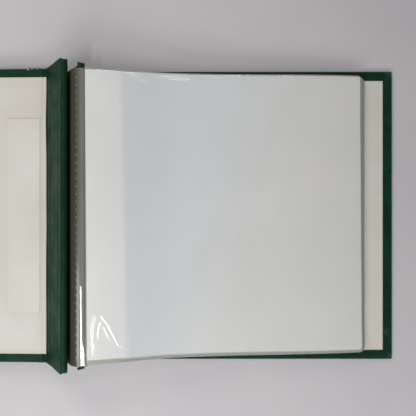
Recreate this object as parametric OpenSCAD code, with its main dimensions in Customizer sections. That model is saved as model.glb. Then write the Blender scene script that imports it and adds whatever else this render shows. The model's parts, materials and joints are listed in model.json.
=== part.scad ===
// Spring-clamp album for stamps and covers, lying open with its leaves on the rear cover.
// Origin: centre of the rear cover's underside. +X to the fore-edge, +Y to the head, +Z up.

/* [Covers] */
// Width of each cover board, from the joint to the fore-edge
cover_w = 330; // [315:1:345]
// Height of the covers, head to tail
cover_h = 300; // [295:1:310]
// Thickness of the board inside a cover
board_t = 2.5; // [2.3:0.1:2.7]
// Thickness of the book cloth
cloth_t = 0.5; // [0.4:0.1:0.5]
// Width of cloth left showing around the lining paper
border_w = 9; // [6:1:14]
// How far the front lining reaches past its board, over the joint
lining_reach = 6; // [4:1:6]

/* [Spine and clamp] */
// Thickness of the clamp over both jaws
clamp_w = 24; // [23.8:0.1:25]
// Depth of the clamp, from the back of the spine to the lips
clamp_d = 42; // [40:1:44]
// Diameter of the rounded lip along each jaw
lip_d = 7; // [6.5:0.1:7]
// Length of the spring steel inside the clamp
spring_len = 208; // [150:1:250]
// Thickness of the spring steel
spring_t = 0.6; // [0.5:0.1:0.7]
// How far the spine leans over when the album lies open
tilt = 52; // [50:1:53]

/* [Leaves] */
// Number of leaves
leaf_count = 10; // [10:1:10]
// Height of a leaf
leaf_h = 285; // [275:1:290]
// Length of a leaf from the clamp to its fore-edge
leaf_len = 281; // [270:1:283]
// Thickness of one clear sleeve with its card
leaf_t = 0.7; // [0.7:0.05:0.75]
// Spacing of the leaves in the pile
leaf_pitch = 0.75; // [0.75:0.01:0.77]
// Width of the hinged stub of the top leaf
stub_w = 40; // [30:1:50]
// Slope of the leaves from the lip down to the fore-edge
leaf_slope = 6.4; // [6.2:0.05:6.4]

/* [Hidden] */
LEAF_CARDS = [for (i = [2:leaf_count]) str("leaf_", i, "_card")];
LEAF_SLEEVES = [for (i = [2:leaf_count]) str("leaf_", i, "_sleeve")];

$fn = 48;
eps = 0.01;
gap = 0.05;                                   // air between neighbouring pieces
cover_t = cloth_t + board_t + cloth_t;        // a cover with its cloth on both faces
lining_t = cloth_t + 0.2;                     // lining paper with the card that levels it
lining_lip = 2;                               // lining lapped over the turned-in cloth
joint_w = 7;                                  // cloth joint between the front cover and its pivot
rear_joint_w = 2;                             // cloth joint between the rear cover and its pivot
foot_reach = 3.4;                             // joint cloth under the foot of the spine
joint_clear = 0.3;                            // front joint cloth to the front board
joint_drop = 2.1;                             // front pivot down to the joint cloth
joint_fall = 9;                               // how much steeper than its cover the cloth lies
cloth_trim = 1;                               // joint cloth shorter than the covers
slip_start = -3;                              // loose slip: its near edge, over the joint
slip_w = 36;
slip_h = 198;
slip_t = 0.2;

// Spine pivot: in the rear joint, at mid-thickness of the rear cover.
pivot_x = -(cover_w / 2 + rear_joint_w);
pivot_z = cover_t / 2;

// Spine frame: origin on the spine pivot, +X towards the lips, +Z from rear jaw to front jaw.
back_x = -4;                                  // outer face of the spine
rear_z = 2.3;                                 // outer face of the rear jaw
front_z = rear_z + clamp_w;                   // outer face of the front jaw
lip_x = back_x + clamp_d - lip_d / 2;         // axis of both lips
rear_lip_z = rear_z + lip_d / 2;
jaw_t = 3;                                    // jaw with its cloth on both faces
jaw_x = 0;                                    // where the jaws start
spine_t = 3;                                  // spine with its cloth
front_pivot_x = back_x - 1;
front_pivot_z = front_z;
front_lift = 0.5;                             // pivot to the front cover's inner face

// Front pivot in the album's frame, and the slope that rests the cover's far edge on the table.
q_x = pivot_x + front_pivot_x * cos(tilt) - front_pivot_z * sin(tilt);
q_z = pivot_z + front_pivot_x * sin(tilt) + front_pivot_z * cos(tilt);
front_far = joint_w + cover_w;
front_slope = asin((q_z - (front_lift + cover_t) - gap) / front_far);

// Leaf pile frame: origin on the rear lip's axis, +X along the leaves, +Z through the pile.
pile_x = pivot_x + lip_x * cos(tilt) - rear_lip_z * sin(tilt);
pile_z = pivot_z + lip_x * sin(tilt) + rear_lip_z * cos(tilt);
pile_low = lip_d / 2 + 2 * gap;
pile_t = leaf_count * leaf_pitch;
film_t = 0.15;                                // each wall of a clear sleeve
card_inset = 3;                               // card edge to sleeve edge
stagger = 0.7;                                // how far each lower leaf reaches past the one above
crease = 0.25;                                // half the crease between the top leaf and its stub
leaf_start = 0.5;                             // near end of the sleeves, past the lip's axis
card_play = 0.5;                              // room round a card inside its sleeve
stub_wall = 0.3;                              // welded ends of the stub's sleeve
bend_gap = 0.3;                               // degrees of air at each end of the margins' bend

module in_spine() translate([pivot_x, 0, pivot_z]) rotate([0, -tilt, 0]) children();

module in_pile() translate([pile_x, 0, pile_z]) rotate([0, leaf_slope, 0]) children();

module in_front_cover()
    translate([q_x, 0, q_z])
        rotate([0, -front_slope, 0])
            translate([-joint_w, 0, -front_lift - cover_t])
                rotate([0, 0, 180])
                    children();

module in_rear_cover() translate([-cover_w / 2, 0, 0]) children();

// A box centred on Y, given its low x and z, its sizes along x and z, and its length along y.
module slab(x, z, w, t, h) translate([x, -h / 2, z]) cube([w, h, t]);

// A round bar along Y.
module bar(x, z, d, h) translate([x, h / 2, z]) rotate([90, 0, 0]) cylinder(d = d, h = h);

// ---- covers, outer face down, joint edge at x = 0 ----

module cover_board()
    color("burlywood")
        slab(0, cloth_t, cover_w - cloth_t, board_t, cover_h - 2 * cloth_t);

module cover_cloth()
    color("darkgreen")
        difference() {
            slab(0, 0, cover_w, cover_t, cover_h);
            slab(-eps, cloth_t, cover_w - cloth_t + eps, board_t, cover_h - 2 * cloth_t);
            slab(-eps, cloth_t + board_t - eps, cover_w - border_w - lining_lip + eps, cover_t,
                 cover_h - 2 * (border_w + lining_lip));
        }

// Lining paper with its lapped edge; reach is how far it runs past the board over the joint.
module cover_lining(reach)
    color("ivory")
        union() {
            slab(0, cloth_t + board_t, cover_w - border_w - lining_lip, lining_t,
                 cover_h - 2 * (border_w + lining_lip));
            slab(-reach, cover_t, cover_w - border_w + reach, lining_t - cloth_t,
                 cover_h - 2 * border_w);
        }

// ---- spine and clamp, in the spine frame ----

module spine_board()
    color("burlywood")
        in_spine()
            slab(back_x + cloth_t, rear_z + cloth_t, spine_t - cloth_t - spring_t,
                 clamp_w - 2 * cloth_t, cover_h - 2 * cloth_t);

// Cloth round the back and the two long edges of the spine, and over its head and tail.
module spine_cloth()
    color("darkgreen")
        in_spine()
            difference() {
                slab(back_x, rear_z, spine_t - spring_t, clamp_w, cover_h);
                slab(back_x + cloth_t, rear_z + cloth_t, spine_t, clamp_w - 2 * cloth_t,
                     cover_h - 2 * cloth_t);
            }

module spine_spring()
    color("silver")
        in_spine()
            slab(back_x + spine_t - spring_t, rear_z + jaw_t, spring_t, clamp_w - 2 * jaw_t,
                 spring_len);

// A jaw's pieces, as the rear jaw; the front jaw is their mirror image.
module jaw_board()
    color("burlywood")
        slab(jaw_x + cloth_t, rear_z + cloth_t, lip_x - lip_d / 2 - jaw_x - cloth_t,
             jaw_t - 2 * cloth_t - spring_t, cover_h - 2 * cloth_t);

module jaw_spring()
    color("silver")
        slab(jaw_x + cloth_t, rear_z + jaw_t - cloth_t - spring_t,
             lip_x - lip_d / 2 - jaw_x - cloth_t, spring_t, spring_len);

module jaw_lip()
    color("dimgray")
        bar(lip_x, rear_lip_z, lip_d - 2 * cloth_t, cover_h - 2 * cloth_t);

module jaw_cloth()
    color("darkgreen")
        difference() {
            union() {
                slab(jaw_x, rear_z, lip_x - jaw_x, jaw_t, cover_h);
                bar(lip_x, rear_lip_z, lip_d, cover_h);
            }
            slab(jaw_x + cloth_t, rear_z + cloth_t, lip_x - lip_d / 2 - jaw_x - cloth_t,
                 jaw_t - 2 * cloth_t, cover_h - 2 * cloth_t);
            bar(lip_x, rear_lip_z, lip_d - 2 * cloth_t, cover_h - 2 * cloth_t);
        }

module front_jaw()
    in_spine()
        translate([0, 0, rear_z + front_z])
            mirror([0, 0, 1])
                children();

// Flat cloth joint on the table, from the rear cover to the foot of the spine.
module rear_joint_cloth()
    color("darkgreen")
        slab(pivot_x - foot_reach, 0, rear_joint_w + foot_reach, cloth_t, cover_h - cloth_trim);

// Cloth joint from the front cover up to the top of the spine.
module front_joint_cloth()
    color("darkgreen")
        translate([q_x, 0, q_z])
            rotate([0, -front_slope - joint_fall, 0])
                slab(-joint_w + joint_clear, -joint_drop, joint_w - joint_clear, cloth_t,
                     cover_h - cloth_trim);

// Loose slip of paper laid on the front lining beside the joint.
module lining_slip()
    color("white")
        in_front_cover()
            slab(slip_start, cover_t + lining_t - cloth_t, slip_w, slip_t, slip_h);

// ---- leaves ----

// The punched film margins, gripped between the jaws.
module leaf_margins() {
    margin_x = jaw_x + 1;
    color("lightgray")
        in_spine()
            for (i = [1:leaf_count])
                slab(margin_x, rear_lip_z + leaf_low(i), lip_x - margin_x - gap,
                     leaf_t - 2 * gap, leaf_h);
}

// The margins where they bend over the rear lip, from the clamp to the leaves.
module margin_bend() {
    far = 3 * (pile_low + pile_t);
    from = tilt - bend_gap;
    to = leaf_slope - bend_gap;
    color("lightgray")
        translate([pile_x, leaf_h / 2, pile_z])
            rotate([90, 0, 0])
                intersection() {
                    difference() {
                        cylinder(r = pile_low + pile_t, h = leaf_h, $fn = 96);
                        translate([0, 0, -1]) cylinder(r = pile_low, h = leaf_h + 2, $fn = 96);
                    }
                    linear_extrude(height = leaf_h)
                        polygon([
                            [0, 0],
                            [far * sin(to), far * cos(to)],
                            [-far / 4, far],
                            [-far * sin(from), far * cos(from)]
                        ]);
                }
}

// Height of leaf i's underside in the pile; leaf 1 is on top.
function leaf_low(i) = pile_low + (leaf_count - i) * leaf_pitch;

// Length of leaf i; the lower leaves reach a little further.
function leaf_end(i) = leaf_len + stagger * (i - 1);

// A clear sleeve from x = a to x = b, hollow, open at the head.
module sleeve(a, b, z)
    color("aliceblue", 0.4)
        difference() {
            slab(a, z, b - a, leaf_t, leaf_h);
            translate([a + card_inset - card_play, -leaf_h / 2 + card_inset - card_play, z + film_t])
                cube([b - a - 2 * (card_inset - card_play), leaf_h, leaf_t - 2 * film_t]);
        }

// The card inside that sleeve.
module card(a, b, z)
    color("whitesmoke")
        slab(a + card_inset, z + film_t + gap, b - a - 2 * card_inset,
             leaf_t - 2 * film_t - 2 * gap, leaf_h - 2 * card_inset);

module leaf_sleeve(i) in_pile() sleeve(leaf_start, leaf_end(i), leaf_low(i));

module leaf_card(i) in_pile() card(leaf_start, leaf_end(i), leaf_low(i));

module leaf_1_stub()
    in_pile()
        card(leaf_start + card_play - card_inset, stub_w - crease - card_play + card_inset,
             leaf_low(1));

module leaf_1_stub_sleeve()
    color("aliceblue", 0.4)
        in_pile()
            difference() {
                slab(leaf_start, leaf_low(1), stub_w - crease - leaf_start, leaf_t, leaf_h);
                slab(leaf_start + stub_wall, leaf_low(1) + film_t,
                     stub_w - crease - leaf_start - 2 * stub_wall, leaf_t - 2 * film_t,
                     leaf_h - 2 * (card_inset - card_play));
            }

module leaf_1_sleeve() in_pile() sleeve(stub_w + crease, leaf_end(1), leaf_low(1));

module leaf_1_card() in_pile() card(stub_w + crease, leaf_end(1), leaf_low(1));

in_rear_cover() cover_board();  // rear_board
in_rear_cover() cover_cloth();  // rear_cloth
in_rear_cover() cover_lining(0);  // rear_lining
rear_joint_cloth();
spine_board();
spine_cloth();
spine_spring();
leaf_margins();
margin_bend();
front_jaw() jaw_board();  // front_jaw_board
front_jaw() jaw_cloth();  // front_jaw_cloth
front_jaw() jaw_lip();  // front_jaw_lip
front_jaw() jaw_spring();  // front_jaw_spring
in_spine() jaw_board();  // rear_jaw_board
in_spine() jaw_cloth();  // rear_jaw_cloth
in_spine() jaw_lip();  // rear_jaw_lip
in_spine() jaw_spring();  // rear_jaw_spring
in_front_cover() cover_board();  // front_board
in_front_cover() cover_cloth();  // front_cloth
in_front_cover() cover_lining(lining_reach);  // front_lining
front_joint_cloth();
lining_slip();
leaf_1_stub();
leaf_1_stub_sleeve();
leaf_1_card();
leaf_1_sleeve();
for (i = [2:leaf_count]) {
    leaf_card(i);
    leaf_sleeve(i);
}
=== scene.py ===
"""Spring-clamp album, lying open: cloth, paper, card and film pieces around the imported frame.

Sizes are in millimetres in the frame of the part they belong to; each frame's matrix turns
them into metres in the album's own frame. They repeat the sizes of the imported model.
"""

import json
import math
import random

import bmesh
import bpy
from mathutils import Matrix, Vector, noise


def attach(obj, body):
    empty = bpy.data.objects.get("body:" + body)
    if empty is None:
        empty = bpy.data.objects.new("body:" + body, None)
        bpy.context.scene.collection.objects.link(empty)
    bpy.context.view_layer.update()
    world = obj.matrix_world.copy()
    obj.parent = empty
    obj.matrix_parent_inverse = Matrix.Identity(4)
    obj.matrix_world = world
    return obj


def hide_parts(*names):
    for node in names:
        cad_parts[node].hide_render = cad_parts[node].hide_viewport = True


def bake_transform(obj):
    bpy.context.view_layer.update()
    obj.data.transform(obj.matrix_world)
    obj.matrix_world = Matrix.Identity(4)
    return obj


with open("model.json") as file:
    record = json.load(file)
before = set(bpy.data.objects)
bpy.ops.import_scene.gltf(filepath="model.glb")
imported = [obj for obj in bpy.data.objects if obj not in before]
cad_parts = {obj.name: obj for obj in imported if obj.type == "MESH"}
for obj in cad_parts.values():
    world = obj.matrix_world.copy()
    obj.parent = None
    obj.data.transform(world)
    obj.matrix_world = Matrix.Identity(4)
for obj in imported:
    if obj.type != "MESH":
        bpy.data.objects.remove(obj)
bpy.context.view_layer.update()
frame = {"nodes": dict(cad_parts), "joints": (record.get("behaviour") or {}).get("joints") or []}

MM = 0.001
SEED = 7

# Covers
COVER_W = 330
COVER_H = 300
COVER_T = 3.5
CLOTH_T = 0.5
BORDER = 9             # turned-in cloth left bare round the front lining
REAR_BORDER = 9.9      # the same round the rear lining, which sits a little further in
LAP = 2                # turned-in cloth under the lining
PAPER_T = 0.2
JOINT_W = 7
LINING_REACH = 6       # how far the front lining reaches over the joint
EDGE_R = 1.1
FRAY_END = 15          # the cloth is frayed this far from the joint
FRAY_DEPTH = 5

# Spine and clamp
TILT = 52              # how far the spine leans back, in degrees
BACK_X = -4            # outer face of the spine
REAR_Z = 2.3           # outer face of the rear jaw
FRONT_Z = 26.3         # outer face of the front jaw
LIP_X = 34.5           # axis of both lips
LIP_R = 3.5
JAW_T = 3
SPINE_T = 2.4
SPRING_LEN = 208

# Leaves
LEAF_SLOPE = 6.4
LEAF_H = 285
LEAF_LEN = 281
LEAF_T = 0.7
LEAF_PITCH = 0.75
LEAF_COUNT = 10
STAGGER = 0.7          # how far each leaf reaches past the one above
PILE_LOW = 3.6         # underside of the lowest leaf above the lip's axis
CREASE_X = 40          # fold between the top leaf's stub and panel
CARD_INSET = 0.9
CARD_START = 6.6
FILM_BORDER = 1.3      # bare film round a lower leaf's card
TAIL_BAND = 5          # bare film along the tail of the second leaf
STUB_BAND = 9          # pale sheet edges at the tail of the lower leaves, beside the stub
CARD_TAIL_GAP = 3.6    # how far the top card stops short of its sleeve at the tail
CARD_TAPER = 1.4       # how much less that is at the fore-edge
CARD_HEAD_GAP = 0.8    # how far it stops short at the head
CURL = 0.12            # rise of the film's curled edge along the stub, per millimetre
TAIL_TRIM = 2.2        # how much the leaves stop short at the tail
DROOP = 8.8            # sag of the leaves past the lip
DROOP_AT = 95          # where it is deepest
PILE_SKEW = 0.42       # the pile's turn in the clamp, in degrees
PILE_SLIDE = 0.3       # and its slide towards the tail
FAN_TURN = 0.045       # how much less each leaf is turned than the one above
FAN_SLIDE = 0.05       # and how much further it slides

# Punched margins
HOLE_PITCH = 7.4
HOLE_D = 2.9
HOLE_COUNT = 37
HOLE_ANGLE = 12        # from the top of the lip back to the holes, in degrees
HOLE_STEPS = 16        # points round a hole, and round the square cell it is cut in
MARGIN_T = 0.24
TOP_SHORTER = 1.2      # how much the top margin stops short of its leaf at head and tail
LOWER_SHORTER = 0.6    # the same for the margins under it


# ---------------------------------------------------------------- frames

def pivot(joint):
    """Where a joint's axis crosses the middle of the album, in metres."""
    return Vector(next(j["pos_m"] for j in frame["joints"] if j["name"] == joint))


def frame_at(origin, degrees):
    """A frame in millimetres at that origin, turned about Y."""
    turn = Matrix.Rotation(math.radians(degrees), 4, "Y")
    return Matrix.Translation(origin) @ turn @ Matrix.Scale(MM, 4)


FRONT_PIVOT = pivot("front_cover_swing")
FRONT_LIFT = COVER_T + 0.5
FRONT_SLOPE = math.degrees(math.asin((FRONT_PIVOT.z / MM - FRONT_LIFT - 0.05) / (JOINT_W + COVER_W)))
SPINE = frame_at(pivot("spine_tilt"), -TILT)
PILE = frame_at(pivot("pile_bend"), LEAF_SLOPE)
REAR = frame_at(Vector((-COVER_W / 2 * MM, 0, 0)), 0)
FRONT = (
    frame_at(FRONT_PIVOT, -FRONT_SLOPE)
    @ Matrix.Translation((-JOINT_W, 0, -FRONT_LIFT))
    @ Matrix.Rotation(math.pi, 4, "Z")
)
ALBUM = Matrix.Scale(MM, 4)


# ---------------------------------------------------------------- shader nodes

def node(tree, kind, inputs=None, **settings):
    """Adds a shader node, sets its properties, and sets or links its inputs."""
    made = tree.nodes.new(kind)
    for key, value in settings.items():
        setattr(made, key, value)
    for key, value in (inputs or {}).items():
        if isinstance(value, bpy.types.NodeSocket):
            tree.links.new(value, made.inputs[key])
        else:
            made.inputs[key].default_value = value
    return made


def blank(name):
    """A new material: its node tree and its output node."""
    made = bpy.data.materials.new(name)
    made.use_nodes = True
    made.node_tree.nodes.clear()
    return made, made.node_tree, node(made.node_tree, "ShaderNodeOutputMaterial")


def rgb(red, green, blue):
    """A colour given in display values from 0 to 255."""
    def linear(value):
        value /= 255
        return value / 12.92 if value <= 0.04045 else ((value + 0.055) / 1.055) ** 2.4
    return linear(red), linear(green), linear(blue), 1


def mix(tree, factor, first, second):
    """Colour socket between two colours."""
    made = node(tree, "ShaderNodeMix", data_type="RGBA")
    for index, value in ((0, factor), (6, first), (7, second)):
        if isinstance(value, bpy.types.NodeSocket):
            tree.links.new(value, made.inputs[index])
        else:
            made.inputs[index].default_value = value
    return made.outputs[2]


def math_node(tree, operation, first, second):
    return node(tree, "ShaderNodeMath", {0: first, 1: second}, operation=operation).outputs[0]


def object_coords(tree):
    return node(tree, "ShaderNodeTexCoord").outputs["Object"]


def mottle(tree, scale, detail=3.0, low=0.35, high=0.65):
    """Noise from 0 to 1 with about `scale` patches per metre."""
    cloud = node(tree, "ShaderNodeTexNoise",
                 {"Vector": object_coords(tree), "Scale": scale, "Detail": detail})
    ramp = node(tree, "ShaderNodeMapRange",
                {"Value": cloud.outputs["Fac"], "From Min": low, "From Max": high})
    return ramp.outputs["Result"]


def threads(tree, pitch):
    """Plain weave with that pitch in metres: crossing bands, a little uneven."""
    coords = object_coords(tree)
    scale = math.tau / (20 * pitch)
    bands = [
        node(tree, "ShaderNodeTexWave",
             {"Vector": coords, "Scale": scale, "Distortion": 1.2, "Detail": 1.0,
              "Detail Scale": 0.6},
             bands_direction=direction).outputs["Fac"]
        for direction in ("X", "Y")
    ]
    return math_node(tree, "MULTIPLY", *bands)


def painted(tree, name):
    """The value painted on the mesh under that name."""
    return node(tree, "ShaderNodeAttribute", attribute_name=name).outputs["Fac"]


def bumped(tree, height, strength, distance):
    return node(tree, "ShaderNodeBump",
                {"Height": height, "Strength": strength, "Distance": distance}).outputs["Normal"]


def principled(tree, output, **inputs):
    shader = node(tree, "ShaderNodeBsdfPrincipled",
                  {key.replace("_", " "): value for key, value in inputs.items()})
    tree.links.new(shader.outputs[0], output.inputs["Surface"])
    return shader


def book_cloth(name, dark, light, worn_and_highlight):
    """Woven book cloth: threads, uneven dye, and paler where the mesh is painted with wear, and along
    the jaws' lips with a painted highlight.
    """
    made, tree, output = blank(name)
    weave = threads(tree, 0.00075)
    dyed = mix(tree, mottle(tree, 90), dark, light)
    thready = mix(tree, math_node(tree, "MULTIPLY", weave, 0.06), dyed, worn_and_highlight)
    # The painted mask holds real wear on edges and corners, and on the jaws a painted highlight along
    # the lip.
    rub_and_highlight = math_node(tree, "MULTIPLY", painted(tree, "wear_and_highlight"), mottle(tree, 700, 2, 0.3, 0.7))
    colour = mix(tree, rub_and_highlight, thready, worn_and_highlight)
    roughness = node(tree, "ShaderNodeMapRange",
                     {"Value": mottle(tree, 60), "To Min": 0.42, "To Max": 0.56})
    principled(tree, output, Base_Color=colour, Roughness=roughness.outputs["Result"],
               Specular_IOR_Level=0.15, Sheen_Weight=0.0, Sheen_Roughness=0.4,
               Normal=bumped(tree, weave, 0.35, 0.0002))
    return made


def paper(name, base, aged, grain=1500, roughness=0.8, coat=0.0):
    """Paper or card: mottled fibre, toned where the mesh is painted as aged."""
    made, tree, output = blank(name)
    clouds = mix(tree, math_node(tree, "MULTIPLY", mottle(tree, 14, 5), 0.35), base, aged)
    colour = mix(tree, painted(tree, "aged"), clouds, aged)
    fibre = mottle(tree, grain, 4, 0.2, 0.8)
    flecked = mix(tree, math_node(tree, "MULTIPLY", fibre, 0.06), colour, rgb(120, 112, 100))
    principled(tree, output, Base_Color=flecked, Roughness=roughness, Coat_Weight=coat,
               Coat_Roughness=0.06, Specular_IOR_Level=0.3,
               Normal=bumped(tree, fibre, 0.12, 0.0001))
    return made


def leaf_card():
    """Card of the top leaf: stub painted brighter as painted light on its slope up to the lip, bluish
    panel that warms towards the fore-edge.
    """
    made, tree, output = blank("leaf_card")
    shaded_panel = mix(tree, painted(tree, "warmth"), rgb(234, 236, 238), rgb(238, 236, 230))
    # Painted light: the stub is painted brighter than the panel, for the light on its slope up to the
    # lip.
    base = mix(tree, painted(tree, "shaded_panel"), rgb(250, 250, 247), shaded_panel)
    shade = mix(tree, math_node(tree, "MULTIPLY", mottle(tree, 9, 3), 0.25), base,
                rgb(222, 223, 219))
    fibre = mottle(tree, 1800, 4, 0.2, 0.8)
    principled(tree, output, Base_Color=shade, Roughness=0.75, Specular_IOR_Level=0.3,
               Normal=bumped(tree, fibre, 0.08, 0.0001))
    return made


def clear_film():
    """Clear polyester film: seen through, with a trace of haze and sharp reflections."""
    made, tree, output = blank("clear_film")
    facing = node(tree, "ShaderNodeLayerWeight", {"Blend": 0.5}).outputs["Facing"]
    grazing = math_node(tree, "MULTIPLY", math_node(tree, "POWER", facing, 5.0), 0.95)
    mirrored = math_node(tree, "ADD", grazing, 0.07)
    clear = node(tree, "ShaderNodeBsdfTransparent", {"Color": (0.985, 0.99, 0.99, 1)})
    haze = node(tree, "ShaderNodeBsdfDiffuse", {"Color": (0.8, 0.82, 0.84, 1)})
    hazy = node(tree, "ShaderNodeMixShader",
                {0: math_node(tree, "MULTIPLY", mottle(tree, 20, 4), 0.03),
                 1: clear.outputs[0], 2: haze.outputs[0]})
    gloss = node(tree, "ShaderNodeBsdfGlossy", {"Color": (1, 1, 1, 1), "Roughness": 0.035})
    both = node(tree, "ShaderNodeMixShader",
                {0: mirrored, 1: hazy.outputs[0], 2: gloss.outputs[0]})
    tree.links.new(both.outputs[0], output.inputs["Surface"])
    return made


def milky_film(name, base, streak, roughness=0.28):
    """Stacked or edge-on film, which no longer looks clear; paler where the mesh says so."""
    made, tree, output = blank(name)
    stretched = node(tree, "ShaderNodeMapping",
                     {"Vector": object_coords(tree), "Scale": (1, 0.06, 1)})
    cloud = node(tree, "ShaderNodeTexNoise",
                 {"Vector": stretched.outputs[0], "Scale": 900, "Detail": 3})
    streaked = mix(tree, cloud.outputs["Fac"], base, streak)
    colour = mix(tree, painted(tree, "pale"), streaked, rgb(172, 172, 168))
    principled(tree, output, Base_Color=colour, Roughness=roughness, Coat_Weight=0.25,
               Coat_Roughness=0.12, Normal=bumped(tree, cloud.outputs["Fac"], 0.15, 0.0002))
    return made


def spring_steel():
    """Blued spring steel, drawn along its length."""
    made, tree, output = blank("spring_steel")
    stretched = node(tree, "ShaderNodeMapping",
                     {"Vector": object_coords(tree), "Scale": (1, 0.02, 1)})
    drawn = node(tree, "ShaderNodeTexNoise",
                 {"Vector": stretched.outputs[0], "Scale": 4000, "Detail": 4})
    colour = mix(tree, drawn.outputs["Fac"], (0.30, 0.31, 0.34, 1), (0.52, 0.53, 0.55, 1))
    roughness = node(tree, "ShaderNodeMapRange",
                     {"Value": drawn.outputs["Fac"], "To Min": 0.25, "To Max": 0.45})
    principled(tree, output, Base_Color=colour, Metallic=1.0,
               Roughness=roughness.outputs["Result"],
               Normal=bumped(tree, drawn.outputs["Fac"], 0.1, 0.0001))
    return made


def table_top():
    """Pale matt studio floor."""
    made, tree, output = blank("table_top")
    colour = mix(tree, mottle(tree, 6, 4), rgb(206, 203, 206), rgb(212, 209, 211))
    principled(tree, output, Base_Color=colour, Roughness=0.65, Specular_IOR_Level=0.25,
               Normal=bumped(tree, mottle(tree, 900, 3), 0.05, 0.0002))
    return made


GREEN = book_cloth("green_book_cloth", rgb(2, 45, 25), rgb(5, 56, 34), rgb(84, 126, 101))
LINING = paper("lining_paper", rgb(229, 227, 219), rgb(205, 198, 181))
SLIP = paper("slip_paper", rgb(233, 231, 223), rgb(210, 204, 188), grain=900)
GREYBOARD = paper("greyboard", rgb(150, 146, 136), rgb(112, 104, 92), grain=600)
CARD = leaf_card()
FILM = clear_film()
SLEEVED = paper("sleeved_card", rgb(228, 229, 226), rgb(206, 206, 200), roughness=0.5, coat=0.35)
FILM_EDGE = milky_film("film_edge", rgb(176, 176, 173), rgb(194, 193, 186))
MARGIN = milky_film("margin_film", rgb(68, 64, 52), rgb(82, 77, 64), 0.35)
BINDING = milky_film("binding_strip", rgb(112, 107, 92), rgb(130, 124, 107), 0.5)
SHEET_EDGE = milky_film("sheet_edge", rgb(196, 190, 172), rgb(208, 202, 184), 0.5)
STEEL = spring_steel()


# ---------------------------------------------------------------- mesh helpers

def piece_from(name, verts, faces, place, materials, slot, replaced=()):
    """A piece from vertices in `place`, cleaned, smooth with sharp corners, and linked into the
    scene.
    """
    mesh = bpy.data.meshes.new(name)
    mesh.from_pydata([place @ Vector(v) for v in verts], [], faces)
    work = bmesh.new()
    work.from_mesh(mesh)
    bmesh.ops.remove_doubles(work, verts=work.verts, dist=0.004 * MM)
    bmesh.ops.recalc_face_normals(work, faces=work.faces)
    work.to_mesh(mesh)
    work.free()
    mesh.shade_smooth()
    mesh.set_sharp_from_angle(angle=math.radians(42))
    piece = bpy.data.objects.new(name, mesh)
    bpy.context.scene.collection.objects.link(piece)
    for material in materials:
        mesh.materials.append(material)
    if replaced:
        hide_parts(*replaced)
    return piece


def paint(piece, name, place, value):
    """Paints value(x, y, z), in the millimetres of `place`, on the piece's vertices."""
    back = place.inverted()
    layer = piece.data.attributes.new(name, "FLOAT", "POINT")
    for index, vertex in enumerate(piece.data.vertices):
        layer.data[index].value = min(1.0, max(0.0, value(*(back @ vertex.co))))


def smooth_step(low, high, value):
    """0 before `low`, 1 beyond `high`, eased between; `high` may be the smaller of the two."""
    t = min(1.0, max(0.0, (value - low) / (high - low)))
    return t * t * (3 - 2 * t)


def grid_lines(low, high, fine, coarse, edge):
    """Grid lines from low to high: about `fine` apart near both ends, `coarse` between."""
    near = [low + k * edge / math.ceil(edge / fine) for k in range(math.ceil(edge / fine) + 1)]
    far = [high - (v - low) for v in reversed(near)]
    steps = max(1, round((far[0] - near[-1]) / coarse))
    middle = [near[-1] + (far[0] - near[-1]) * k / steps for k in range(1, steps)]
    return near + middle + far


def plate(name, xs, ys, top, bottom, place, materials, slot, replaced=(), plan=None):
    """Closed plate over the grid xs by ys, between the heights bottom(x, y) and top(x, y)."""
    plan = plan or (lambda x, y: (x, y))
    cells = [plan(x, y) for x in xs for y in ys]
    verts = [(x, y, height(x, y)) for height in (top, bottom) for x, y in cells]
    rows, columns = len(xs), len(ys)

    def corner(layer, i, j):
        return layer * rows * columns + i * columns + j

    faces = [
        tuple(corner(layer, i + a, j + b) for a, b in ((0, 0), (1, 0), (1, 1), (0, 1)))
        for layer in (0, 1) for i in range(rows - 1) for j in range(columns - 1)
    ]
    rim = [(i, 0) for i in range(rows)] + [(rows - 1, j) for j in range(1, columns)]
    rim += [(i, columns - 1) for i in range(rows - 2, -1, -1)]
    rim += [(0, j) for j in range(columns - 2, 0, -1)]
    faces += [
        (corner(0, *a), corner(1, *a), corner(1, *b), corner(0, *b))
        for a, b in zip(rim, rim[1:] + rim[:1])
    ]
    return piece_from(name, verts, faces, place, materials, slot, replaced)


def rounded_fore_edge(length, height, radius):
    """Plan mapping that rounds the two corners at the far end of a plate."""
    def plan(x, y):
        a = x - (length - radius)
        b = abs(y) - (height / 2 - radius)
        if a > 0 and b > 0:
            scale = max(a, b) / math.hypot(a, b)
            x = length - radius + a * scale
            y = math.copysign(height / 2 - radius + b * scale, y)
        return x, y
    return plan


def leaf_outline(length, height, radius):
    """Plan mapping of a leaf: its far corners rounded, its tail edge trimmed a little."""
    rounded = rounded_fore_edge(length, height, radius)

    def plan(x, y):
        x, y = rounded(x, y)
        return x, y + TAIL_TRIM * (0.5 - y / height)
    return plan


def sweep(name, profile, ys, place, materials, slot, replaced=(), shape=None):
    """Closed solid: the (x, z) profile swept along Y, each point moved by shape(x, y, z)."""
    shape = shape or (lambda x, y, z: (x, y, z))
    verts = [shape(x, y, z) for y in ys for x, z in profile]
    count = len(profile)
    faces = [
        (r * count + k, r * count + (k + 1) % count,
         (r + 1) * count + (k + 1) % count, (r + 1) * count + k)
        for r in range(len(ys) - 1) for k in range(count)
    ]
    faces.append(tuple(range(count)))
    faces.append(tuple((len(ys) - 1) * count + k for k in range(count)))
    return piece_from(name, verts, faces, place, materials, slot, replaced)


def arc(x, z, radius, start, end, steps):
    """Points on an arc about (x, z), from one angle to another, in degrees."""
    angles = [math.radians(start + (end - start) * k / steps) for k in range(steps + 1)]
    return [(x + radius * math.cos(a), z + radius * math.sin(a)) for a in angles]


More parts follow.
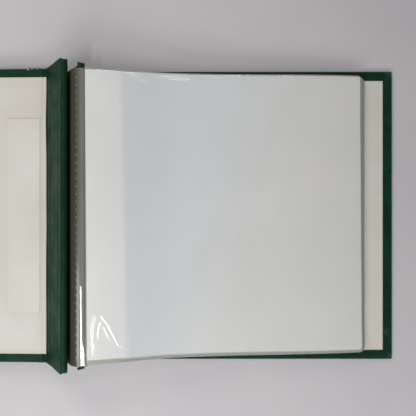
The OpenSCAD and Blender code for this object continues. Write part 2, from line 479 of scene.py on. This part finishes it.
def ribbon(points, thickness):
    """Closed profile of a strip of that thickness along a smooth line through the points."""
    line = []
    ends = [points[0]] + points + [points[-1]]
    for p0, p1, p2, p3 in zip(ends, ends[1:], ends[2:], ends[3:]):
        for k in range(5):
            t = k / 5
            line.append(tuple(
                0.5 * (2 * b + (c - a) * t + (2 * a - 5 * b + 4 * c - d) * t * t
                       + (3 * b - a - 3 * c + d) * t ** 3)
                for a, b, c, d in zip(p0, p1, p2, p3)))
    line.append(points[-1])
    sides = ([], [])
    for k, (x, z) in enumerate(line):
        before = line[max(k - 1, 0)]
        after = line[min(k + 1, len(line) - 1)]
        dx, dz = after[0] - before[0], after[1] - before[1]
        length = math.hypot(dx, dz)
        for side, sign in zip(sides, (1, -1)):
            side.append((x - sign * dz / length * thickness / 2,
                         z + sign * dx / length * thickness / 2))
    return sides[0] + sides[1][::-1]


def in_album(place, x, z):
    """A point of a frame at y = 0 as (x, z) in the album's frame, in millimetres."""
    point = place @ Vector((x, 0, z))
    return point.x / MM, point.z / MM


def waver(y, seed, size, length):
    """Slow unevenness along the album, from -size to size."""
    return size * noise.noise(Vector((y / length, seed, 0.5)))


# ---------------------------------------------------------------- covers

CORNER_STEPS = 6
MITRE_W = 0.4
OUTER_PANEL_RING = 15  # the ring of the section that bounds the cover's outer panel


def cover_ring(inset, z, spacing=2.5):
    """Points round the head, fore-edge and tail of a cover, `inset` in from its edge."""
    reach = max(EDGE_R, inset)
    corner = max(EDGE_R - inset, 0)
    along = round(COVER_W / spacing)
    across = round(COVER_H / spacing)
    mitre = -0.45 if EDGE_R < inset < BORDER and z > COVER_T / 2 else 0
    head = [((COVER_W - reach) * k / along, COVER_H / 2 - inset, z) for k in range(along)]
    head.append((COVER_W - reach - MITRE_W, COVER_H / 2 - inset, z))
    bends = []
    for sign, start in ((1, 90), (-1, 0)):
        turn = [math.radians(start - 90 * k / CORNER_STEPS) for k in range(CORNER_STEPS + 1)]
        bends.append([
            (COVER_W - reach + corner * math.cos(a),
             sign * (COVER_H / 2 - reach) + corner * math.sin(a), z + mitre)
            for a in turn
        ])
    half = COVER_H / 2 - reach
    stations = [half - MITRE_W] + [half * (1 - 2 * k / across) for k in range(1, across)]
    edge = [(COVER_W - inset, y, z) for y in stations + [MITRE_W - half]]
    tail = [(x, -y, height) for x, y, height in reversed(head)]
    return head + bends[0] + edge + bends[1] + tail


def cover_cloth(name, place, body, node_name, crease=None, frayed=False):
    """Cloth drawn over a cover's board and turned in on its inner face, mitred at the corners."""
    turn_in = BORDER + LAP
    section = [(turn_in, COVER_T), (BORDER * 0.7, COVER_T), (BORDER * 0.35, COVER_T)]
    section += [(EDGE_R - dx, COVER_T - EDGE_R + dz) for dx, dz in arc(0, 0, EDGE_R, 90, 0, 5)]
    section += [(EDGE_R - dx, EDGE_R + dz) for dx, dz in arc(0, 0, EDGE_R, 0, -90, 5)]
    section += [(turn_in, 0), (turn_in, CLOTH_T), (CLOTH_T, CLOTH_T),
                (CLOTH_T, COVER_T - CLOTH_T), (turn_in, COVER_T - CLOTH_T)]
    rings = [cover_ring(inset, z) for inset, z in section]
    count = len(rings[0])
    verts = [point for ring in rings for point in ring]
    if frayed:
        verts = [fray(*v) for v in verts]
    faces = [
        (a * count + k, a * count + k + 1, b * count + k + 1, b * count + k)
        for a, b in zip(range(len(rings)), list(range(1, len(rings))) + [0])
        for k in range(count - 1)
        if a != OUTER_PANEL_RING
    ]
    outer = [OUTER_PANEL_RING * count + k for k in range(count)]
    inner = [(OUTER_PANEL_RING + 1) * count + k for k in range(count)]
    faces += [tuple(outer), tuple(inner), (outer[0], outer[-1], inner[-1], inner[0])]
    first_half = range(OUTER_PANEL_RING + 1)
    second_half = range(OUTER_PANEL_RING + 1, len(rings))
    for end in (0, count - 1):
        faces.append(tuple(r * count + end for r in first_half)
                     + tuple(r * count + end for r in second_half))
    piece = piece_from(name, verts, faces, place, [GREEN], "book_cloth", [node_name])

    def wear_and_highlight(x, y, z):
        from_edge = min(COVER_W - x, COVER_H / 2 - abs(y))
        rub_and_highlight = 0.55 * (1 - smooth_step(0.2, 1.3, from_edge)) * (z > COVER_T / 2)
        corner = math.hypot(COVER_W - x, COVER_H / 2 - abs(y))
        rub_and_highlight += 0.5 * (1 - smooth_step(2, 9, corner))
        if crease:
            rub_and_highlight += 0.8 * (1 - smooth_step(0.3, 1.6, to_segment(x, y, *crease))) * (z > COVER_T / 2)
        return rub_and_highlight

    paint(piece, "wear_and_highlight", place, wear_and_highlight)
    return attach(piece, body)


def fray(x, y, z):
    """Wears notches in the cloth at the head of the joint."""
    if x > FRAY_END or y > 3 - COVER_H / 2:
        return x, y, z
    bite = max(0, noise.noise(Vector((x * 0.45, 3.1, z * 0.4)))) * FRAY_DEPTH
    return x, y + bite * (1 - smooth_step(FRAY_END - 4, FRAY_END, x)), z


def to_segment(x, y, ax, ay, bx, by):
    """Distance from (x, y) to the line from (ax, ay) to (bx, by)."""
    dx, dy = bx - ax, by - ay
    t = min(1, max(0, ((x - ax) * dx + (y - ay) * dy) / (dx * dx + dy * dy)))
    return math.hypot(x - ax - t * dx, y - ay - t * dy)


def lining(name, place, body, node_name, reach, seed):
    """Lining paper pasted over the board and the turned-in cloth, which shows through it."""
    border = BORDER if reach else REAR_BORDER
    width = COVER_W - border
    height = COVER_H - 2 * border
    base = COVER_T

    def top(x, y):
        inside = min(width - x, height / 2 - abs(y))
        step = 0.28 * smooth_step(LAP - 0.6, LAP + 1.4, inside)
        swell = 0.06 * noise.noise(Vector((x / 40, y / 40, seed)))
        groove = 0.55 * math.exp(-((x + 2.6) / 0.9) ** 2) if reach else 0
        curl = 0.35 * smooth_step(-reach + 2, -reach, x) if reach else 0
        return base + PAPER_T - step + swell * smooth_step(2, 12, inside) - groove + curl

    def uneven(x, y):
        slack = smooth_step(0, -reach, x) if reach else 0
        return x + slack * waver(y, seed, 0.5, 45), y

    xs = grid_lines(-reach, width, 0.6, 6, 9)
    ys = grid_lines(-height / 2, height / 2, 0.8, 6, 5)
    piece = plate(name, xs, ys, top, lambda x, y: top(x, y) - PAPER_T, place, [LINING],
                  "lining_paper", [node_name], plan=uneven)

    def aged(x, y, z):
        inside = min(width - x, height / 2 - abs(y), x + reach)
        return 0.5 * (1 - smooth_step(0, 2.2, inside)) + 0.18 * (1 - smooth_step(2, 16, inside))

    paint(piece, "aged", place, aged)
    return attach(piece, body)


def loose_slip():
    """Slip of thin paper laid on the front lining beside the joint."""
    low, high, length = 0.5, 33, 198

    def top(x, y):
        lift = 0.1 * smooth_step(length / 2 - 12, length / 2, abs(y))
        return COVER_T + 2 * PAPER_T + lift + 0.05 * noise.noise(Vector((x / 9, y / 30, 5)))

    piece = plate("paper_slip", grid_lines(low, high, 0.6, 4, 4),
                  grid_lines(-length / 2, length / 2, 1.5, 5, 12), top,
                  lambda x, y: top(x, y) - 0.12, FRONT, [SLIP], "lining_paper",
                  ["lining_slip"])
    paint(piece, "aged", FRONT, lambda x, y, z: 0.4 * (abs(y) > length / 2 - 0.8))
    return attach(piece, "front_cover")


def frayed_threads():
    """Loose threads and torn board fibre at the head of the front joint."""
    draw = random.Random(SEED)
    for name, material, slot, count, reach in (
        ("frayed_threads", GREEN, "book_cloth", 60, 2.2),
        ("frayed_fibre", SLIP, "greyboard", 44, 1.6),
    ):
        verts, faces = [], []
        for _ in range(count):
            x = draw.uniform(0.5, FRAY_END - 2)
            z = draw.uniform(0.8, COVER_T - 0.1)
            y = draw.uniform(0.6, 1.6) - COVER_H / 2
            aim = draw.uniform(-0.9, 0.9)
            length = draw.uniform(0.5, 1) * reach
            for k in range(5):
                t = k / 4
                cx = x + aim * length * t * t
                cy = y - length * t
                cz = z + 0.3 * math.sin(3 * t + x)
                radius = 0.32 * (1 - 0.6 * t)
                verts += [(cx + radius * math.cos(a), cy, cz + radius * math.sin(a))
                          for a in (0, math.tau / 4, math.tau / 2, 3 * math.tau / 4)]
            start = len(verts) - 20
            for k in range(4):
                faces += [(start + 4 * k + s, start + 4 * k + (s + 1) % 4,
                           start + 4 * k + 4 + (s + 1) % 4, start + 4 * k + 4 + s)
                          for s in range(4)]
            faces += [tuple(start + s for s in range(4)), tuple(start + 16 + s for s in range(4))]
        piece = piece_from(name, verts, faces, FRONT, [material], slot)
        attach(piece, "front_cover")


# ---------------------------------------------------------------- spine and clamp

def jaw(name, body, side, nodes):
    """A jaw in its cloth: flat outer face, shallow groove, round lip, and the spring's ends."""
    outer = [(0.3, 0.5), (0.6, 0.12), (1.2, 0)]
    outer += [(x, 0) for x in (6, 12, 18, 24, 27.5)]
    outer += [(28.8, 0.1), (29.8, 0.3), (30.8, 0.22), (32.2, 0.03)]
    lip = arc(LIP_X, LIP_R, LIP_R, -90, 152, 22)
    inner = [(30.4, JAW_T + 0.25), (29, JAW_T), (20, JAW_T), (10, JAW_T), (1, JAW_T), (0.3, 2.4)]
    profile = [(x, REAR_Z + z if side < 0 else FRONT_Z - z) for x, z in outer + lip + inner]
    outside = FRONT_Z if side > 0 else REAR_Z
    corner = rounded_fore_edge(LIP_X + LIP_R, COVER_H, 6)

    def shape(x, y, z):
        x, y = corner(x, y)
        near_end = 1 - smooth_step(0, 0.9, COVER_H / 2 - abs(y))
        middle = outside - side * JAW_T / 2
        z += (middle - z) * 0.22 * near_end
        out = 1 if abs(z - outside) < 2 else 0
        press = 0.4 * math.exp(-((abs(y) - SPRING_LEN / 2) / 3.5) ** 2 - ((x - 31.6) / 1.6) ** 2)
        lean = waver(y, side, 0.35, 60) * smooth_step(20, 34, x)
        return x + lean, y, z + side * out * (press + 0.12 * waver(y, side + 4, 1, 25))

    ys = sorted(set(grid_lines(-COVER_H / 2, COVER_H / 2, 0.4, 4, 4)
                    + [s * (SPRING_LEN / 2 + d) for s in (-1, 1) for d in (-5, -2.5, -1, 1, 2.5, 5)]))
    piece = sweep(name, profile, ys, SPINE, [GREEN], "book_cloth", nodes, shape)

    def wear_and_highlight(x, y, z):
        mark = 1.1 * math.exp(-((abs(y) - SPRING_LEN / 2) / 5) ** 2 - ((x - 31.6) / 0.9) ** 2)
        ends = 0.6 * (1 - smooth_step(0.3, 1.8, COVER_H / 2 - abs(y)))
        # Painted highlight: a paler line along the fold between the flat face and the lip, where
        # light catches it.
        crown_highlight = 0.35 * math.exp(-((x - 32.0) / 0.8) ** 2) * (abs(z - outside) < 1.5)
        return mark + ends + crown_highlight

    paint(piece, "wear_and_highlight", SPINE, wear_and_highlight)
    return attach(piece, body)


def spine_wrap():
    """Cloth over the back of the spine, a little crowned."""
    inner = BACK_X + SPINE_T
    radius = 1.4
    profile = [(inner, REAR_Z + 0.1)]
    profile += arc(BACK_X + radius, REAR_Z + radius, radius, 270, 180, 5)
    profile += [(BACK_X - 0.25 * math.sin(math.pi * k / 8), REAR_Z + radius
                 + (FRONT_Z - REAR_Z - 2 * radius) * k / 8) for k in range(1, 8)]
    profile += arc(BACK_X + radius, FRONT_Z - radius, radius, 180, 90, 5)
    profile += [(inner, FRONT_Z - 0.1)]
    ys = grid_lines(-COVER_H / 2, COVER_H / 2, 0.4, 6, 3)
    piece = sweep("spine_wrap", profile, ys, SPINE, [GREEN], "book_cloth", ["spine_cloth"])
    paint(piece, "wear_and_highlight", SPINE, lambda x, y, z: 0.5 * (abs(y) > COVER_H / 2 - 1))
    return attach(piece, "spine")


def cloth_strip(name, points, thickness, half, nodes=(), middle=0):
    """Strip of cloth through the points (x, z) of the album's frame, bent between two bodies."""
    ys = grid_lines(middle - half, middle + half, 0.5, 5, 3)

    def shape(x, y, z):
        return x, y, z + waver(y, len(name), 0.06, 20)

    piece = sweep(name, ribbon(points, thickness), ys, ALBUM, [GREEN], "book_cloth", nodes, shape)
    paint(piece, "wear_and_highlight", ALBUM, lambda x, y, z: 0.3 * (abs(y) > COVER_H / 2 - 1.6))
    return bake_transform(piece)


def joint_cloths():
    """The cloth joints of both covers and the folds of cloth from the spine to the jaws."""
    front = [in_album(FRONT, x, z) for x, z in
             ((1.5, 0.28), (0, 0.28), (-2.2, 0.6), (-4.4, 1.5), (-6.2, 2.9))]
    front += [in_album(SPINE, x, z) for x, z in ((-4.5, 25.2), (-4.45, 22.5), (-4.35, 19.5))]
    cloth_strip("front_joint", front, 0.4, COVER_H / 2 - 0.6,
                ["front_joint_cloth"])
    turn_in = [in_album(FRONT, x, z) for x, z in
               ((2, 3.62), (0, 3.62), (-1.8, 3.5), (-3, 2.7), (-4.2, 3.3), (-6.2, 3.9))]
    turn_in += [in_album(SPINE, x, z) for x, z in ((-3.6, 26.55), (-1.8, 26.55))]
    for name, middle in (("front_joint_turn_in_head", 1), ("front_joint_turn_in_tail", -1)):
        cloth_strip(name, turn_in, 0.3, BORDER / 2 - 0.1,
                    middle=middle * (COVER_H / 2 - BORDER / 2 - 0.1))
    rear = [in_album(REAR, x, z) for x, z in ((1.5, 0.3), (0, 0.3), (-2, 0.32), (-4.4, 0.4))]
    rear += [in_album(SPINE, x, z) for x, z in ((-4.4, 3.6), (-4.4, 6), (-4.35, 9))]
    cloth_strip("rear_joint", rear, 0.4, COVER_H / 2 - 0.6,
                ["rear_joint_cloth"])
    for name, side, outside, body in (
        ("front_jaw_fold", 1, FRONT_Z, "front_jaw"),
        ("rear_jaw_fold", -1, REAR_Z, "rear_jaw"),
    ):
        route = [(-4.2, outside - side * 4), (-4.2, outside - side * 2)]
        route += [(-2.2 + 2.1 * math.cos(a), outside - side * (2 - 2.15 * math.sin(a)))
                  for a in (math.radians(v) for v in (160, 135, 110))]
        route += [(-1.2, outside + side * 0.14), (1, outside + side * 0.14),
                  (4, outside + side * 0.13)]
        points = [in_album(SPINE, x, z) for x, z in route]
        cloth_strip(name, points, 0.2, COVER_H / 2 - 0.3)


# ---------------------------------------------------------------- leaves

def pile_height(index):
    """Underside of a leaf in the pile frame; leaf 1 is on top."""
    return PILE_LOW + (LEAF_COUNT - index) * LEAF_PITCH


def leaf_place(index):
    """A leaf's frame: the pile lies a little askew in the clamp, its lower leaves fanned out."""
    below = index - 1
    middle = Vector((LEAF_LEN / 2, 0, 0))
    turn = Matrix.Rotation(math.radians(PILE_SKEW - FAN_TURN * below), 4, "Z")
    slide = Matrix.Translation(middle + Vector((0, -PILE_SLIDE - FAN_SLIDE * below, 0)))
    return PILE @ slide @ turn @ Matrix.Translation(-middle)


def sway(x, y):
    """How far the pile leaves its flat shape: it droops past the lip and lifts at the edges."""
    droop = DROOP * smooth_step(0, DROOP_AT, x) * (1 - smooth_step(DROOP_AT, LEAF_LEN, x))
    along = smooth_step(60, LEAF_LEN, x)
    edge = smooth_step(95, LEAF_H / 2, abs(y))
    ripple = 0.5 + 0.5 * noise.noise(Vector((x / 70, y / 60, 2.3)))
    return along * (0.35 * edge + 0.45 * ripple) - droop


def margin_point(radius, travel, y):
    """A point of a margin sheet: `travel` runs along it from the lip's tangent, negative inside
    the clamp, round the lip, then along the pile."""
    bend = math.radians(TILT + LEAF_SLOPE)
    turned = travel / radius
    if travel < 0:
        return SPINE @ Vector((LIP_X + travel, y, REAR_Z + LIP_R + radius))
    if turned < bend:
        angle = math.radians(TILT) - turned
        x = -radius * math.sin(angle)
        z = radius * math.cos(angle)
        return pivot("pile_bend") + Vector((x, y, z)) * MM
    return PILE @ Vector((travel - bend * radius, y, radius))


def flat_margin(start, hole_at, end, shorter, punched):
    """A margin sheet laid flat: its (travel, y) vertices and faces, with a row of holes."""
    step = HOLE_PITCH / 4
    half_row = HOLE_COUNT * HOLE_PITCH / 2
    cell_rows = [hole_at + step * k for k in (-2, -1, 0, 1, 2)]
    before = [start + (cell_rows[0] - start) * k / 16 for k in range(17)]
    after = [cell_rows[-1] + (end - cell_rows[-1]) * k / 5 for k in range(6)]
    row = [-half_row + step * k for k in range(4 * HOLE_COUNT + 1)]
    ys = [shorter - LEAF_H / 2, 2 - LEAF_H / 2] + row + [LEAF_H / 2 - 2, LEAF_H / 2 - shorter]
    verts, faces = [], []

    def patch(rows, columns):
        first = len(verts)
        wide = len(columns)
        verts.extend((t, y) for t in rows for y in columns)
        for i in range(len(rows) - 1):
            for j in range(wide - 1):
                corner = first + i * wide + j
                faces.append((corner, corner + wide, corner + wide + 1, corner + 1))

    patch(before, ys)
    patch(after, ys)
    if not punched:
        patch(cell_rows, ys)
        return verts, faces
    patch(cell_rows, ys[:3])
    patch(cell_rows, ys[-3:])
    circle = [(math.cos(math.tau * k / HOLE_STEPS), math.sin(math.tau * k / HOLE_STEPS))
              for k in range(HOLE_STEPS)]
    square = [tuple(round(2 * v / max(abs(a), abs(b))) for v in (a, b)) for a, b in circle]
    for hole in range(HOLE_COUNT):
        centre = -half_row + HOLE_PITCH * (hole + 0.5)
        first = len(verts)
        verts += [(hole_at + step * a, centre + step * b) for a, b in square]
        verts += [(hole_at + HOLE_D / 2 * a, centre + HOLE_D / 2 * b) for a, b in circle]
        faces += [(first + k, first + (k + 1) % HOLE_STEPS,
                   first + HOLE_STEPS + (k + 1) % HOLE_STEPS, first + HOLE_STEPS + k)
                  for k in range(HOLE_STEPS)]
    return verts, faces


def joined_sheet(verts, faces):
    """A flat mesh with its shared corners made one, and the edges round its rim and holes."""
    places, flat, index_of = [], [], {}
    for t, y in verts:
        key = (round(t, 3), round(y, 3))
        if key not in index_of:
            index_of[key] = len(flat)
            flat.append((t, y))
        places.append(index_of[key])
    joined = [tuple(places[v] for v in face) for face in faces]
    edges = {(face[k - 1], face[k]) for face in joined for k in range(len(face))}
    return flat, joined, sorted(edge for edge in edges if (edge[1], edge[0]) not in edges)


def margin_sheet(index):
    """Punched film margin of one leaf, gripped in the clamp and bent over the rear lip."""
    radius = pile_height(index) + LEAF_T / 2
    bend = math.radians(TILT + LEAF_SLOPE) * radius
    hole_at = math.radians(TILT - HOLE_ANGLE) * radius
    last = bend + CARD_START + (-2 if index == 1 else 1)
    slide = (PILE.inverted() @ leaf_place(index)).translation.y
    shorter = TOP_SHORTER if index == 1 else LOWER_SHORTER
    # The second sheet is left whole: the holes of the top one show its paler face.
    verts, faces = flat_margin(1 - LIP_X, hole_at, last, shorter, punched=index != 2)
    flat, joined, rim = joined_sheet(verts, faces)
    count = len(flat)
    solid = [margin_point(radius + side * MARGIN_T / 2, t, y + slide)
             for side in (1, -1) for t, y in flat]
    both = joined + [tuple(count + v for v in reversed(face)) for face in joined]
    both += [(b, a, count + a, count + b) for a, b in rim]
    piece = piece_from(f"leaf_margin_{index}", solid, both, Matrix.Identity(4),
                       [MARGIN if index == 1 else BINDING, SHEET_EDGE], "sleeve_film",
                       ["leaf_margins", "margin_bend"] if index == 1 else ())
    for face in piece.data.polygons:
        if abs(face.center.y / MM - slide) > LEAF_H / 2 - shorter - 0.05:
            face.material_index = 1
    paint(piece, "pale", PILE, lambda x, y, z: 0.45 * smooth_step(-3.5, 2.5, x) * (z > 0))
    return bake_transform(piece)


def lower_leaf(index):
    """A sleeved leaf under the top one: coated card with a band of bare film round it."""
    end = LEAF_LEN + STAGGER * (index - 1)
    low = pile_height(index)
    place = leaf_place(index)
    xs = grid_lines(CARD_START - 1, end, 0.65, 9, 5.2)
    ys = grid_lines(-LEAF_H / 2, LEAF_H / 2, 0.65, 9, 5.2)

    def rim(x, y):
        return smooth_step(0, 1.2, min(end - x, LEAF_H / 2 - abs(y), x - CARD_START + 1.4))

    piece = plate(f"leaf_{index}", xs, ys,
                  lambda x, y: low + sway(x, y) + 0.3 + (LEAF_T - 0.32) * rim(x, y),
                  lambda x, y: low + sway(x, y) + 0.28 - 0.24 * rim(x, y),
                  place, [SLEEVED, FILM_EDGE, SHEET_EDGE], "leaf_card",
                  [f"leaf_{index}_card", f"leaf_{index}_sleeve"],
                  plan=leaf_outline(end, LEAF_H, 4))
    back = place.inverted()
    for face in piece.data.polygons:
        centre = back @ face.center
        inside = min(end - centre.x, LEAF_H / 2 - abs(centre.y))
        bared = index == 2 and centre.y < TAIL_BAND - LEAF_H / 2
        face.material_index = 1 if bared or inside < FILM_BORDER else 0
        if centre.x < CREASE_X and centre.y < STUB_BAND - LEAF_H / 2:
            face.material_index = 2
    paint(piece, "aged", place, lambda x, y, z: 0.25 * smooth_step(240, 280, x))
    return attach(piece, "leaf_pile")


# Ridges of the film on the top leaf: their line, height and half-width, in the pile frame.
FILM_RIDGES = (
    (((14, -130), (12.5, -108), (15, -94), (20, -92), (27, -103), (37, -124)), 0.8, 1.9),
    (((18, -128), (17.5, -108), (20, -101), (24, -108), (30, -122)), 0.55, 1.4),
    (((39, 142), (62, 129)), 0.5, 1.7),
    (((80, 136), (104, 134.5)), 0.35, 1.5),
    (((146, 31), (158, 32)), 0.25, 1.5),
    (((8.5, 40), (9, 118)), 0.3, 2.5),
)


def film_lift(x, y):
    """How far the film of the top leaf stands off its card: ridges, slow waves, and an edge
    that curls up along the stub towards the tail."""
    total = 0
    for line, height, width in FILM_RIDGES:
        away = min(to_segment(x, y, *start, *end) for start, end in zip(line, line[1:]))
        total += height * math.exp(-(away / width) ** 2)
    slow = 0.5 + 0.5 * noise.noise(Vector((x / 35, y / 50, 9.1)))
    width = 1.5 + 2.8 * smooth_step(-112, -132, y)
    ramp = min(width, max(0, x - 0.5)) * smooth_step(-52, -72, y)
    return total + 0.25 * slow + CURL * ramp * smooth_step(12, 5, x)


def top_card():
    """Card of the top leaf, lying a little askew in its sleeve."""
    low = pile_height(1)
    place = leaf_place(1)
    card_end = LEAF_LEN - CARD_INSET
    card_h = LEAF_H - 2 * CARD_INSET
    outline = leaf_outline(card_end, card_h, 3)

    def askew(x, y):
        x, y = outline(x, y)
        tail_gap = CARD_TAIL_GAP - CARD_TAPER * x / LEAF_LEN
        return x, y + tail_gap * (0.5 - y / card_h) - CARD_HEAD_GAP * (0.5 + y / card_h)

    card = plate("leaf_1_paper",
                 grid_lines(CARD_START, card_end, 1.5, 3, 45),
                 grid_lines(-card_h / 2, card_h / 2, 1.5, 6, 6),
                 lambda x, y: low + sway(x, y) + 0.45, lambda x, y: low + sway(x, y) + 0.15,
                 place, [CARD], "leaf_card", ["leaf_1_stub", "leaf_1_card"], plan=askew)
    # Painted light: 1 on the panel and 0 on the stub, whose brighter colour stands for the light on
    # its slope up to the lip.
    paint(card, "shaded_panel", place,
          lambda x, y, z: smooth_step(CREASE_X - 2, CREASE_X + 5, x + 0.012 * y))
    paint(card, "warmth", place, lambda x, y, z: smooth_step(90, 230, x - 0.3 * y))
    return card


def top_film():
    """Clear sleeve of the top leaf, with its folds."""
    low = pile_height(1)

    def rim(x, y):
        return smooth_step(0, 0.5, min(LEAF_LEN - x, LEAF_H / 2 - abs(y)))

    def top(x, y):
        return low + sway(x, y) + 0.3 + (0.28 + film_lift(x, y)) * rim(x, y)

    def bottom(x, y):
        return low + sway(x, y) + 0.28 - 0.2 * rim(x, y)

    return plate("leaf_1_film",
                 grid_lines(0.5, LEAF_LEN, 0.8, 2.2, 66),
                 grid_lines(-LEAF_H / 2, LEAF_H / 2, 1, 2.4, 55),
                 top, bottom, leaf_place(1), [FILM], "sleeve_film",
                 ["leaf_1_stub_sleeve", "leaf_1_sleeve"],
                 plan=leaf_outline(LEAF_LEN, LEAF_H, 4))


def top_leaf():
    """The top leaf: card and film, each sagging past the lip with the pile."""
    for piece in (top_card(), top_film()):
        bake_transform(piece)


# ---------------------------------------------------------------- the album

# A light crease in the cloth near the tail of the rear cover's fore-edge.
REAR_CREASE = (321, -124.3, 327, -121)

cover_cloth("rear_cover_cloth", REAR, "rear_cover", "rear_cloth", crease=REAR_CREASE)
lining("rear_lining_paper", REAR, "rear_cover", "rear_lining", 0, 1.7)
cover_cloth("front_cover_cloth", FRONT, "front_cover", "front_cloth", frayed=True)
lining("front_lining_paper", FRONT, "front_cover", "front_lining", LINING_REACH, 4.2)
loose_slip()
frayed_threads()
spine_wrap()
jaw("front_jaw_wrap", "front_jaw", 1, ["front_jaw_cloth", "front_jaw_lip"])
jaw("rear_jaw_wrap", "rear_jaw", -1, ["rear_jaw_cloth", "rear_jaw_lip"])
joint_cloths()
for number in range(1, LEAF_COUNT + 1):
    margin_sheet(number)
for number in range(2, LEAF_COUNT + 1):
    lower_leaf(number)
top_leaf()

for name, cad_node in frame["nodes"].items():
    if name.endswith("_board"):
        cad_node.data.materials.clear()
        cad_node.data.materials.append(GREYBOARD)
    if name.endswith("_spring"):
        cad_node.data.materials.clear()
        cad_node.data.materials.append(STEEL)


# ---------------------------------------------------------------- studio

def floor():
    """Pale floor under the album."""
    half = 3.0
    mesh = bpy.data.meshes.new("studio_floor")
    mesh.from_pydata([(-half, -half, 0), (half, -half, 0), (half, half, 0), (-half, half, 0)],
                     [], [(0, 1, 2, 3)])
    mesh.materials.append(table_top())
    made = bpy.data.objects.new("studio_floor", mesh)
    bpy.context.scene.collection.objects.link(made)


def area_light(name, place, aim, size, power, colour=(1, 1, 1)):
    """Rectangular lamp at a place, turned towards a point."""
    data = bpy.data.lights.new(name, "AREA")
    data.shape = "RECTANGLE"
    data.size, data.size_y = size
    data.energy = power
    data.color = colour
    lamp = bpy.data.objects.new(name, data)
    lamp.location = place
    lamp.rotation_euler = (Vector(aim) - Vector(place)).to_track_quat("-Z", "Y").to_euler()
    bpy.context.scene.collection.objects.link(lamp)


def studio():
    """Dim room light, a low key from the tail, fills from head left and tail right, and two
    lamps overhead whose reflections draw the film's folds."""
    world = bpy.data.worlds.new("room")
    world.use_nodes = True
    room = world.node_tree.nodes["Background"]
    room.inputs["Color"].default_value = (0.94, 0.96, 1.0, 1)
    room.inputs["Strength"].default_value = 0.12
    bpy.context.scene.world = world
    area_light("key", (-0.3, -0.7, 0.5), (-0.1, -0.1, 0), (0.45, 0.3), 2.7, (1, 0.99, 0.985))
    area_light("left_fill", (-0.42, 0.62, 0.48), (-0.1, 0, 0), (0.35, 0.3), 1.9, (1, 0.95, 0.94))
    area_light("right_fill", (0.45, -0.78, 0.7), (0, 0, 0), (0.5, 0.4), 1.6, (0.97, 0.98, 1))
    area_light("gloss_strip", (-0.45, -0.5, 1.1), (-0.45, -0.5, 0), (0.12, 0.6), 4.8)
    area_light("head_streak", (0.2, 0.62, 1.1), (0.2, 0.62, 0), (0.5, 0.06), 1.2)


def camera():
    """Straight down on the album, its head at the top of the picture."""
    data = bpy.data.cameras.new("camera")
    data.sensor_width = 36
    data.lens = 35.8
    made = bpy.data.objects.new("camera", data)
    made.location = (-0.027, 0.0077, 0.435)
    bpy.context.scene.collection.objects.link(made)
    bpy.context.scene.camera = made


floor()
studio()
camera()
bpy.context.scene.view_settings.view_transform = "Standard"
